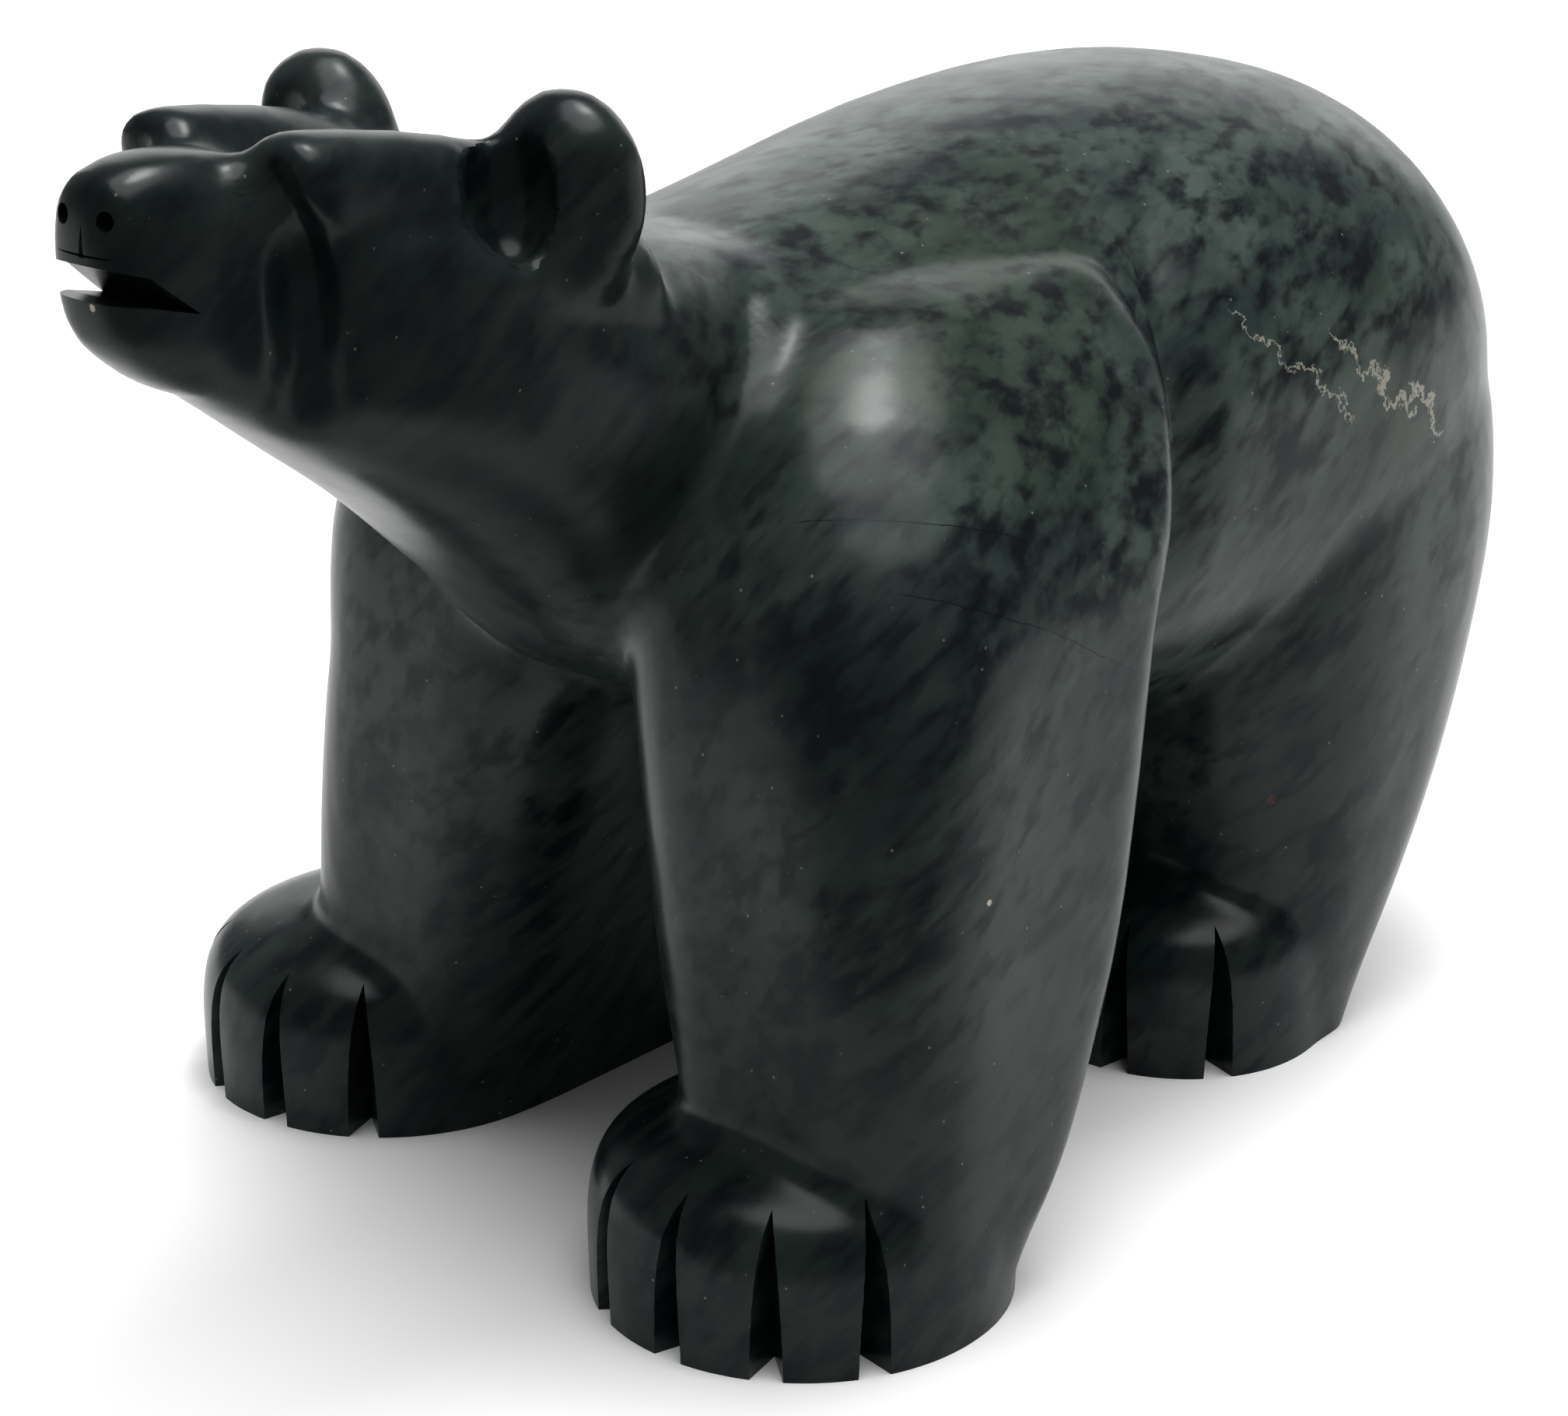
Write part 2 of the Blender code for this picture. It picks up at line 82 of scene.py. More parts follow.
# Masses that stand up, for the left side: (z, front, back, inner, outer)
FRONT_LEG = [
    (-0.03, 0.030, 0.108, 0.080, 0.232),
    (0.02, 0.029, 0.136, 0.078, 0.238),
    (0.06, 0.028, 0.166, 0.074, 0.241),
    (0.107, 0.024, 0.188, 0.069, 0.243),
    (0.18, 0.016, 0.210, 0.058, 0.247),
    (0.26, 0.012, 0.222, 0.050, 0.249),
    (0.34, 0.014, 0.235, 0.038, 0.248),
    (0.39, 0.026, 0.266, 0.030, 0.236),
    (0.45, 0.062, 0.304, 0.020, 0.198),
    (0.487, 0.115, 0.310, 0.015, 0.155),
]
HIND_LEG = [
    (-0.03, 0.444, 0.552, 0.020, 0.176),
    (0.02, 0.446, 0.566, 0.020, 0.184),
    (0.08, 0.444, 0.609, 0.020, 0.190),
    (0.14, 0.434, 0.650, 0.018, 0.194),
    (0.21, 0.420, 0.683, 0.014, 0.197),
    (0.29, 0.420, 0.704, 0.006, 0.198),
    (0.37, 0.430, 0.704, 0.000, 0.186),
    (0.43, 0.450, 0.680, 0.000, 0.150),
]
# A foot is round in plan: (z, share of its radius)
FOOT = [
    (-0.03, 0.98),
    (0.030, 1.00),
    (0.055, 0.99),
    (0.070, 0.955),
    (0.080, 0.89),
    (0.088, 0.78),
    (0.095, 0.64),
    (0.101, 0.47),
    (0.106, 0.25),
]
# Each leg: its column and side, how far that stands back and, at the ground, out, how much longer
# its heel is, the middle and radius of its foot, where its toes point and how far apart their slots
# are, in degrees
LEGS = [
    (FRONT_LEG, LEFT, 0.0, 0.0, 0.0, (0.134, 0.081), 0.110, 16.0, 28.5),
    (FRONT_LEG, RIGHT, 0.048, 0.030, 0.125, (-0.217, 0.136), 0.109, -8.0, 29.0),
    (HIND_LEG, LEFT, 0.0, 0.0, 0.0, (0.097, 0.470), 0.088, -9.0, 40.0),
    (HIND_LEG, RIGHT, -0.020, 0.006, 0.0, (-0.112, 0.456), 0.087, 6.0, 36.0),
]
LEG_LEANS_FROM = 0.14       # height where a leg that stands out at the ground starts to lean in
HEEL_ENDS_AT = 0.28         # height where a longer heel ends in the leg

# A brow runs from the ear to the snout, on the left side: (x, y, z, half width, half height)
BROW = [
    (0.064, 0.000, 0.562, 0.022, 0.022),
    (0.053, -0.045, 0.575, 0.024, 0.024),
    (0.045, -0.095, 0.584, 0.026, 0.027),
    (0.041, -0.153, 0.592, 0.026, 0.028),
]
# An ear and its hollow: middle and half sizes; its flat side: a point on it and the way it faces
EAR = ((0.079, -0.021, 0.573), (0.042, 0.031, 0.051))
EAR_HOLLOW = ((0.077, -0.057, 0.580), (0.020, 0.021, 0.034))
EAR_FACET = ((0.103, -0.031, 0.573), (0.88, -0.42, -0.22))

# How round each mass is, as a share of its half width, and how far its two ends are rounded
MASSES = [
    ("trunk", TRUNK, 0.94, (0.05, 0.028)),
    ("neck", NECK, 0.87, (0.0, 0.02)),
    ("head", HEAD, 0.84, (0.02, 0.012)),
    ("snout", SNOUT, 0.74, (0.0, 0.008)),
]
BROW_CORNER = 0.9
BROW_ENDS = (0.01, 0.026)
FOOT_CORNER = 0.99
FRONT_LEG_CORNERS = (0.70, 0.26)        # at its front and at its squarer back
HIND_LEG_CORNERS = (0.83, 0.0)          # the same at all four
LEG_TOP = 0.025
# How finely they are drawn: rings along a mass, rings at a rounded end and steps round a corner
MASS_RINGS = 22
BROW_RINGS = 18
FOOT_RINGS = 16
END_RINGS = 6
CORNER_STEPS = 11

# Strokes of the rasp, on the left side: points, radius, depth and the side that the stroke lowers;
# without a side it is a soft hollow
STROKES = [
    ([(0.113, 0.363, 0.517), (0.136, 0.343, 0.486), (0.159, 0.331, 0.452), (0.170, 0.327, 0.420),
      (0.180, 0.320, 0.376), (0.181, 0.306, 0.330), (0.178, 0.284, 0.260)], 0.050, 0.014, (-0.3, 1, 0)),
    ([(0.056, 0.138, 0.520), (0.080, 0.110, 0.505), (0.095, 0.092, 0.486), (0.106, 0.074, 0.466),
      (0.112, 0.050, 0.438), (0.108, 0.034, 0.414), (0.097, 0.024, 0.391), (0.073, 0.021, 0.359),
      (0.054, 0.036, 0.318)], 0.045, 0.007, (-0.7, -0.7, 0)),
    ([(0.022, -0.182, 0.620), (0.044, -0.172, 0.600), (0.054, -0.164, 0.570), (0.053, -0.160, 0.538),
      (0.046, -0.154, 0.505), (0.030, -0.146, 0.475)], 0.022, 0.015, None),
    ([(0.0, -0.165, 0.612), (0.0, -0.080, 0.600), (0.0, -0.010, 0.580)], 0.030, 0.005, None),
]
EDGE = 0.007                # how far a stroke that lowers one side takes to fall
STROKE_STEPS = 24
STROKE_STARTS, STROKE_ENDS = 0.2, 0.25  # share of its line that a stroke takes to sink in and to rise

# The cutter of a toe slot is a three-sided bar. In metres: how far its corners reach across and
# inwards, where it starts, how high it rises, how far it leans out on the way up and how far its
# middle stands out of the foot. It loses a share of its width on the way up.
SLOT_ACROSS = 0.0078
SLOT_INWARDS = 0.0130
SLOT_START = -0.005
SLOT_PLATE = 0.002
SLOT_RISE = 0.0390
SLOT_LEAN = 0.0030
SLOT_STANDS_OUT = 0.0030
SLOT_NARROWS = 0.40
SLOT_STEPS = 8
SLOTS_ON_A_FOOT = 4

# The mouth from the side: its lower edge from the corner forwards. The gap at its other two points
# is so many times MOUTH_GAP, which is in metres.
MOUTH_EDGE = [(-0.202, 0.546), (-0.226, 0.552), (-0.262, 0.556)]
MOUTH_WIDENS = (0.9, 1.35)
MOUTH_GAP = 0.0056
MOUTH_HALF_WIDTH = 0.07
# The groove across the nose from the side, and the one down to the lip: depth, height, half width
LIP_GROOVE = [(-0.2363, 0.5735), (-0.260, 0.5693), (-0.260, 0.5777)]
LIP_GROOVE_HALF_WIDTH = 0.05
PHILTRUM = [(-0.2385, 0.5885, 0.006), (-0.2355, 0.5725, 0.015)]
PHILTRUM_FRONT = -0.262
NOSTRIL = (0.0135, -0.240, 0.5895)
NOSTRIL_RADIUS, NOSTRIL_DEPTH = 0.0017, 0.009       # of the drill, in metres
GROUND_MIDDLE, GROUND_DEPTH = 0.25, 0.2
GROUND_SIZE = (0.5, 0.8)                            # in metres
SHARP_EDGE = math.radians(38)


def along(rows, t):
    """A smooth curve through rows of numbers: t is 0 at the first row and 1 at the last."""
    last = len(rows) - 1
    place = min(t * last, last - 1e-9)
    i = int(place)
    u = place - i
    a, b, c, d = rows[max(i - 1, 0)], rows[i], rows[i + 1], rows[min(i + 2, last)]
    return [
        0.5 * (2 * q + (r - p) * u + (2 * p - 5 * q + 4 * r - s) * u * u
               + (3 * q - p - 3 * r + s) * u ** 3)
        for p, q, r, s in zip(a, b, c, d)
    ]


def rounded_off(rings, first, last):
    """Adds shrinking rings at both ends of a mass."""
    out = list(rings)
    ends = ((rings[0], rings[1], first, True), (rings[-1], rings[-2], last, False))
    for (centre, wide, high), inner, length, front in ends:
        if length == 0.0:
            continue
        way = (centre - inner[0]).normalized()
        for k in range(1, END_RINGS):
            angle = math.pi / 2 * k / END_RINGS
            cap = (centre + way * length * math.sin(angle), wide * math.cos(angle), high * math.cos(angle))
            out.insert(0 if front else len(out), cap)
    return out


def faced_outwards(thing):
    """Turns all faces of a closed thing outwards and leaves edit mode."""
    bpy.ops.object.mode_set(mode="EDIT")
    bpy.ops.mesh.select_all(action="SELECT")
    bpy.ops.mesh.normals_make_consistent(inside=False)
    bpy.ops.object.mode_set(mode="OBJECT")
    return thing


def draw_out(name, rings, corner, lying, square_back=0.0):
    """A mass of stone: a plate with rounded corners, extruded and resized from ring to ring."""
    bpy.ops.object.select_all(action="DESELECT")
    bpy.ops.mesh.primitive_plane_add(size=2, rotation=(math.pi / 2 if lying else 0, 0, 0))
    thing = bpy.context.object
    thing.name = name
    bpy.ops.object.transform_apply(rotation=True)
    bpy.ops.object.mode_set(mode="EDIT")
    bpy.ops.mesh.select_all(action="SELECT")
    if square_back:
        bpy.ops.mesh.select_all(action="DESELECT")
        bpy.ops.object.mode_set(mode="OBJECT")
        for vertex in thing.data.vertices:
            vertex.select = vertex.co.y > 0
        bpy.ops.object.mode_set(mode="EDIT")
        bpy.ops.mesh.bevel(offset=square_back, segments=CORNER_STEPS, affect="VERTICES")
        bpy.ops.object.mode_set(mode="OBJECT")
        for vertex in thing.data.vertices:
            vertex.select = vertex.co.y < -0.99
        bpy.ops.object.mode_set(mode="EDIT")
    bpy.ops.mesh.bevel(offset=corner, segments=CORNER_STEPS, affect="VERTICES")
    bpy.ops.mesh.select_all(action="SELECT")
    spot, size = Vector((0, 0, 0)), (1.0, 1.0)
    for i, (centre, wide, high) in enumerate(rings):
        centre = centre * LENGTH
        wide, high = wide * LENGTH, high * LENGTH
        if i:
            bpy.ops.mesh.extrude_region_move(TRANSFORM_OT_translate={"value": centre - spot})
        else:
            bpy.ops.transform.translate(value=centre)
        grow = (wide / size[0], high / size[1])
        bpy.ops.transform.resize(value=(grow[0], 1, grow[1]) if lying else (grow[0], grow[1], 1),
                                 center_override=centre)
        spot, size = centre, (wide, high)
    return faced_outwards(thing)


def barrel(name, rows, corner, ends):
    """A mass that runs from head to tail."""
    rings = []
    for i in range(MASS_RINGS):
        y, low, high, wide = along(rows, i / (MASS_RINGS - 1))
        rings.append((Vector((0, y, (low + high) / 2)), wide, (high - low) / 2))
    return draw_out(name, rounded_off(rings, *ends), corner, True)


def column(rows, side, stride, spread, heel, corner, square_back):
    """A leg."""
    rings = []
    for i in range(MASS_RINGS):
        z, front, back, inner, outer = along(rows, i / (MASS_RINGS - 1))
        out = spread * min(1.0, max(-0.95, 1 - z / LEG_LEANS_FROM))
        back += heel * min(1.0, max(0.0, 1 - z / HEEL_ENDS_AT))
        centre = Vector((side * ((inner + outer) / 2 + out), (front + back) / 2 + stride, z))
        rings.append((centre, (outer - inner) / 2, (back - front) / 2))
    return draw_out("leg", rounded_off(rings, 0.0, LEG_TOP), corner, False, square_back)


def foot(middle, radius):
    rings = []
    for i in range(FOOT_RINGS):
        z, share = along(FOOT, i / (FOOT_RINGS - 1))
        rings.append((Vector((*middle, z)), radius * share, radius * share))
    return draw_out("foot", rings, FOOT_CORNER, False)


def brow(side):
    rings = []
    for i in range(BROW_RINGS):
        x, y, z, wide, high = along(BROW, i / (BROW_RINGS - 1))
        rings.append((Vector((x * side, y, z)), wide, high))
    return draw_out("brow", rounded_off(rings, *BROW_ENDS), BROW_CORNER, True)


def ball(name, centre, radii, side):
    """An egg of stone on one side of the bear."""
    bpy.ops.object.select_all(action="DESELECT")
    place = Vector((centre[0] * side, centre[1], centre[2])) * LENGTH
    bpy.ops.mesh.primitive_uv_sphere_add(segments=40, ring_count=24, radius=LENGTH, location=place,
                                         scale=radii)
    thing = bpy.context.object
    thing.name = name
    bpy.ops.object.transform_apply()
    return thing


def joined(name, things):
    bpy.ops.object.select_all(action="DESELECT")
    for thing in things:
        thing.select_set(True)
    bpy.context.view_layer.objects.active = things[0]
    bpy.ops.object.join()
    things[0].name = name
    return things[0]


def worked(thing, kind, **settings):
    """Gives a thing one modifier and applies it."""
    bpy.context.view_layer.objects.active = thing
    tool = thing.modifiers.new(kind.lower(), kind)
    for name, value in settings.items():
        setattr(tool, name, value)
    bpy.ops.object.modifier_apply(modifier=tool.name)


def polished(thing, rubs):
    """Melts overlapping masses into one skin and rubs it smooth."""
    worked(thing, "REMESH", mode="VOXEL", voxel_size=FINE_GRAIN)
    worked(thing, "SMOOTH", factor=0.5, iterations=rubs)


def cut(thing, cutter):
    worked(thing, "BOOLEAN", operation="DIFFERENCE", solver="MANIFOLD", object=cutter)
    bpy.data.objects.remove(cutter, do_unlink=True)


def rasp(thing, strokes):
    """Lowers the surface along strokes, by its distance from each line, less at the line's ends."""
    mesh = thing.data
    count = len(mesh.vertices)
    spots = np.empty(count * 3, dtype=np.float32)
    ways = np.empty(count * 3, dtype=np.float32)
    mesh.vertices.foreach_get("co", spots)
    mesh.vertices.foreach_get("normal", ways)
    spots = spots.reshape(-1, 3)
    ways = ways.reshape(-1, 3)
    moved = np.zeros(count)
    for points, radius, depth, falls in strokes:
        line = [Vector(along(points, k / STROKE_STEPS)) * LENGTH for k in range(STROKE_STEPS + 1)]
        line = np.array([thing.closest_point_on_mesh(point)[1] for point in line])
        reach = radius * LENGTH
        close = np.all((spots > line.min(axis=0) - reach) & (spots < line.max(axis=0) + reach), axis=1)
        here = spots[close]
        near = np.full(len(here), 1.0)
        beside = np.zeros(len(here))
        place = np.zeros(len(here))
        for k, (a, b) in enumerate(zip(line, line[1:])):
            step = b - a
            t = np.clip((here - a) @ step / (step @ step), 0, 1)
            away = here - a - t[:, None] * step
            far = np.linalg.norm(away, axis=1)
            nearer = far < near
            near[nearer] = far[nearer]
            place[nearer] = (k + t[nearer]) / STROKE_STEPS
            if falls:
                beside[nearer] = (away @ np.array(falls))[nearer]
        x = np.clip(near / reach, 0, 1)
        ends = np.clip(np.minimum(place / STROKE_STARTS, (1 - place) / STROKE_ENDS), 0, 1)
        ends = ends * ends * (3 - 2 * ends)
        if falls:
            fall = np.clip(beside / (EDGE * LENGTH) / 2 + 0.5, 0, 1)
            moved[close] += depth * LENGTH * ends * fall * fall * (3 - 2 * fall) * (1 - x) ** 1.6
        else:
            moved[close] += depth * LENGTH * ends * (1 - x * x) ** 2
    spots -= ways * moved[:, None]
    mesh.vertices.foreach_set("co", spots.ravel())
    mesh.update()


def toe_slot(way, place):
    """The V-shaped cutter of one slot, which cuts that way into a foot."""
    bpy.ops.object.select_all(action="DESELECT")
    bpy.ops.mesh.primitive_cylinder_add(vertices=3, radius=1, depth=SLOT_PLATE, end_fill_type="NGON",
                                        location=(0, 0, SLOT_START - SLOT_PLATE / 2))
    slot = bpy.context.object
    bpy.ops.object.transform_apply()
    bpy.ops.object.mode_set(mode="EDIT")
    bpy.ops.mesh.select_all(action="SELECT")
    bpy.ops.transform.resize(value=(SLOT_ACROSS, SLOT_INWARDS, 1), center_override=(0, 0, 0))
    bpy.ops.mesh.select_all(action="DESELECT")
    bpy.ops.object.mode_set(mode="OBJECT")
    for face in slot.data.polygons:
        face.select = face.normal.z > 0.9
    bpy.ops.object.mode_set(mode="EDIT")
    tip, high, size = Vector((0, SLOT_INWARDS, 0)), SLOT_START, 1.0
    for i in range(1, SLOT_STEPS + 1):
        rise = i / SLOT_STEPS
        shrink = 1 - SLOT_NARROWS * rise ** 1.5
        z = SLOT_START + SLOT_RISE * rise
        lean = -SLOT_LEAN * (rise ** 2 - (rise - 1 / SLOT_STEPS) ** 2)
        bpy.ops.mesh.extrude_region_move(TRANSFORM_OT_translate={"value": (0, lean, z - high)})
        bpy.ops.transform.resize(value=(shrink / size, 1, 1), center_override=tip)
        high, size = z, shrink
    faced_outwards(slot)
    slot.rotation_euler = (0, 0, way)
    slot.location = place
    bpy.ops.object.transform_apply()
    return slot


def toe_slots():
    """The cutters of all slots in two sets, as neighbours overlap inside a foot."""
    odd, even = [], []
    for *_, middle, radius, toes, apart in LEGS:
        for k in range(SLOTS_ON_A_FOOT):
            way = math.radians(toes + apart * (k - (SLOTS_ON_A_FOOT - 1) / 2))
            outward = Vector((math.sin(way), -math.cos(way), 0))
            rim = (Vector((*middle, 0)) + outward * radius) * LENGTH
            (odd if k % 2 else even).append(toe_slot(way, rim + outward * SLOT_STANDS_OUT))
    return joined("odd_slots", odd), joined("even_slots", even)


def block(name, points, faces):
    """A closed thing from corners in shares of the bear's length."""
    mesh = bpy.data.meshes.new(name)
    mesh.from_pydata([Vector(point) * LENGTH for point in points], [], faces)
    thing = bpy.data.objects.new(name, mesh)
    bpy.context.scene.collection.objects.link(thing)
    bpy.ops.object.select_all(action="DESELECT")
    thing.select_set(True)
    bpy.context.view_layer.objects.active = thing
    return faced_outwards(thing)


def bar(name, corners, half_width):
    """A bar across the bear, from corners given as (y, z)."""
    n = len(corners)
    faces = [tuple(range(n)), tuple(range(2 * n - 1, n - 1, -1))]
    faces += [(k, n + k, n + (k + 1) % n, (k + 1) % n) for k in range(n)]
    return block(name, [(x, y, z) for x in (-half_width, half_width) for y, z in corners], faces)


def mouth():
    (front_y, front_z), (middle_y, middle_z) = MOUTH_EDGE[2], MOUTH_EDGE[1]
    gap = MOUTH_GAP / LENGTH
    upper = [(front_y, front_z + gap * MOUTH_WIDENS[1]), (middle_y, middle_z + gap * MOUTH_WIDENS[0])]
    return bar("mouth", MOUTH_EDGE + upper, MOUTH_HALF_WIDTH)


def ear(side):
    """An ear with its outer side cut flat."""
    thing = ball("ear", *EAR, side)
    spot, way = Vector(EAR_FACET[0]), Vector(EAR_FACET[1]).normalized()
    spot.x, way.x = spot.x * side, way.x * side
    bpy.ops.object.mode_set(mode="EDIT")
    bpy.ops.mesh.select_all(action="SELECT")
    bpy.ops.mesh.bisect(plane_co=spot * LENGTH, plane_no=way, use_fill=True, clear_outer=True)
    bpy.ops.object.mode_set(mode="OBJECT")
    return thing


def nostril(side):
    bpy.ops.object.select_all(action="DESELECT")
    place = Vector((NOSTRIL[0] * side, *NOSTRIL[1:])) * LENGTH
    bpy.ops.mesh.primitive_cylinder_add(vertices=24, radius=NOSTRIL_RADIUS, depth=NOSTRIL_DEPTH,
                                        location=place, rotation=(math.pi / 2, 0, 0))
    bpy.ops.object.transform_apply()
    return bpy.context.object


def philtrum():
    """A shallow V-shaped groove from between the nostrils down to the lip."""
    points = []
    for y, z, wide in PHILTRUM:
        points += [(0, y, z), (-wide, PHILTRUM_FRONT, z), (wide, PHILTRUM_FRONT, z)]
    return block("philtrum", points, [(0, 1, 2), (3, 5, 4), (0, 3, 4, 1), (1, 4, 5, 2), (2, 5, 3, 0)])


def ground_block():
    bpy.ops.object.select_all(action="DESELECT")
    place = Vector((0, GROUND_MIDDLE, -GROUND_DEPTH / 2)) * LENGTH
    bpy.ops.mesh.primitive_cube_add(size=1, location=place, scale=(*GROUND_SIZE, GROUND_DEPTH * LENGTH))
    bpy.ops.object.transform_apply()
    return bpy.context.object


def both_sides(strokes):
    """The strokes of both sides. The first follows the front leg, so it moves with its stride."""
    out = []
    for side in (LEFT, RIGHT):
        for i, (points, radius, depth, falls) in enumerate(strokes):
            stride = LEGS[1][2] if side == RIGHT and i == 0 else 0.0
            moved = [(x * side, y + stride, z) for x, y, z in points]
            way = falls and (falls[0] * side, falls[1], falls[2])
            if side == LEFT or any(x for x, _, _ in points):
                out.append((moved, radius, depth, way))
    return out


def carved_bear():
    """The whole bear with its middle at the origin, and where that middle was."""
    things = [barrel(*mass) for mass in MASSES]
    for rows, side, stride, spread, heel, middle, radius, _, _ in LEGS:
        corners = FRONT_LEG_CORNERS if rows is FRONT_LEG else HIND_LEG_CORNERS
        things.append(column(rows, side, stride, spread, heel, *corners))
        things.append(foot(middle, radius))
    for side in (LEFT, RIGHT):
        things.append(brow(side))
        things.append(ear(side))
    bear = joined("soapstone_bear", things)
    polished(bear, 7)
    for side in (LEFT, RIGHT):
        cut(bear, ball("hollow", *EAR_HOLLOW, side))
    polished(bear, 2)
    rasp(bear, both_sides(STROKES))
    worked(bear, "SMOOTH", factor=0.5, iterations=3)
    for slots in toe_slots():
        cut(bear, slots)
    cut(bear, mouth())
    cut(bear, bar("lip_groove", LIP_GROOVE, LIP_GROOVE_HALF_WIDTH))
    cut(bear, philtrum())
    for side in (LEFT, RIGHT):
        cut(bear, nostril(side))
    cut(bear, ground_block())
    spots = np.array([vertex.co for vertex in bear.data.vertices])
    middle = (spots.min(axis=0) + spots.max(axis=0)) / 2
    middle[2] = 0.0
    bear.data.transform(Matrix.Translation(-Vector(middle)))
    bpy.ops.object.select_all(action="DESELECT")
    bear.select_set(True)
    bpy.context.view_layer.objects.active = bear
    bpy.ops.object.shade_smooth_by_angle(angle=SHARP_EDGE)
    return bear, Vector(middle)


class Flow:
    """An output socket of the stone's nodes, so that its sums read as sums."""

    tree = None

    def __init__(self, socket):
        self.socket = socket

    @classmethod
    def node(cls, kind, settings, inputs, output=0):
        """Adds a node: first its settings, then the values or links of its inputs."""
        made = cls.tree.nodes.new("ShaderNode" + kind)
        for name, value in settings.items():
            setattr(made, name, value)
        for name, value in inputs.items():
            if isinstance(value, Flow):
                cls.tree.links.new(value.socket, made.inputs[name])
            else:
                made.inputs[name].default_value = value
        return cls(made.outputs[output])

    def sum(self, operation, a, b):
        return Flow.node("Math", {"operation": operation}, {0: a, 1: b})

    def __add__(self, other):
        return self.sum("ADD", self, other)

    __radd__ = __add__

    def __sub__(self, other):
        return self.sum("SUBTRACT", self, other)

    def __rsub__(self, other):
        return self.sum("SUBTRACT", other, self)

    def __mul__(self, other):
        return self.sum("MULTIPLY", self, other)

    __rmul__ = __mul__

    def __abs__(self):
        return self.sum("ABSOLUTE", self, 0.0)

    def dot(self, other):
        return Flow.node("VectorMath", {"operation": "DOT_PRODUCT"}, {0: self, 1: other}, "Value")

    def rise(self, low, high):
        """0 below low, 1 above high, and smooth between them."""
        return Flow.node("MapRange", {"interpolation_type": "SMOOTHSTEP"},
                         {"Value": self, "From Min": low, "From Max": high})

    def noise(self, scale, detail=3.0, rough=0.5, distortion=0.0):
        return Flow.node("TexNoise", {}, {"Vector": self, "Scale": scale, "Detail": detail,
                                          "Roughness": rough, "Distortion": distortion})

    def tint(self, other, share):
        """This colour, with a share of the other mixed in."""
        return Flow.node("Mix", {"data_type": "RGBA"}, {0: share, 6: self, 7: other}, 2)


GREY_GREEN = (0.024, 0.037, 0.035, 1)
PALE_GREEN = (0.074, 0.098, 0.086, 1)
MOSS = (0.019, 0.032, 0.018, 1)
BLUE_BLACK = (0.0030, 0.0045, 0.0075, 1)
# the darker stone of the head, also used as painted shade low on the legs and feet
DARK_HEAD_AND_SHADE = (0.005, 0.009, 0.010, 1)
CHALK = (0.50, 0.47, 0.40, 1)
RUST = (0.10, 0.030, 0.022, 1)

# Marks in the stone of the left side, in shares: start, end, the way the stone faces there, half
# width and how far the line wanders, in metres. A vein is pale and a crack is a dark hairline.
VEINS = [
    ((0.170, 0.382, 0.454), (0.190, 0.425, 0.419), (0.9, 0.1, 0.45), 0.00040, 0.0200),
    ((0.184, 0.420, 0.427), (0.196, 0.476, 0.387), (0.95, 0.2, 0.3), 0.00055, 0.0200),
    ((0.186, 0.456, 0.431), (0.196, 0.500, 0.397), (0.95, 0.2, 0.3), 0.00055, 0.0200),
    ((0.195, 0.497, 0.399), (0.196, 0.574, 0.358), (0.97, 0.2, 0.2), 0.00110, 0.0240),
]
CRACKS = [
    ((0.206, 0.055, 0.391), (0.244, 0.130, 0.361), (0.8, -0.45, 0.4), 0.00016, 0.0016),
    ((0.243, 0.128, 0.363), (0.243, 0.217, 0.311), (1.0, 0.0, 0.2), 0.00016, 0.0016),
    ((0.159, 0.044, 0.419), (0.229, 0.132, 0.403), (0.7, -0.5, 0.5), 0.00014, 0.0016),
    ((0.068, 0.167, 0.511), (0.157, 0.212, 0.485), (0.4, -0.1, 0.9), 0.00015, 0.0020),
]
CHIPS = [
    ((0.040, -0.159, 0.588), 0.0013), ((0.004, -0.238, 0.551), 0.0007), ((0.248, 0.082, 0.239), 0.0006),
]
RUST_SPOT = ((0.170, 0.450, 0.160), 0.0012)

# The stone's beds run one way: its dashes lie along them, so many times as long and wide as thick
STREAK_WAY = (0.386, 0.640, 0.664)
ACROSS_STREAKS = (0.6, -0.7, 0.3)
STREAK_STRETCH = (3.0, 1.3, 1.0)
# The polishing scratches lie another way
HAIR_TURN = (0.4, 0.9, 0.3)
HAIR_STRETCH = (9.0, 1.0, 1.0)
# Where the darker stone of the head and neck fades out, in metres: from front to back, and upwards
HEAD_FADES = (-0.125, -0.035)
HEAD_RISES = (0.080, 0.125)
LOW_SHADE_HEIGHTS = (0.02, 0.16)    # heights between which the painted shade near the floor fades out, so the stone gets lighter upwards


def marked(place, middle, start, end, faces, width, wander):
    """1 on a jagged line from start to end on the side of the bear that faces so, and 0 off it."""
    start, end = Vector(start) * LENGTH - middle, Vector(end) * LENGTH - middle
    way, faces = (end - start).normalized(), Vector(faces).normalized()
    across = way.cross(faces).normalized()
    jag = place.noise(150.0, 5.0, 0.66) - 0.5
    off = place.dot(across) - start.dot(across) + jag * wander
    gone = place.dot(way) - start.dot(way)
    line = 1 - abs(off).rise(width * 0.5, width)
    length, height = (end - start).length, start.dot(faces)
    ends = gone.rise(-0.001, 0.002) * (1 - gone.rise(length - 0.002, length + 0.001))
    return line * ends * place.dot(faces).rise(height - 0.03, height - 0.02)


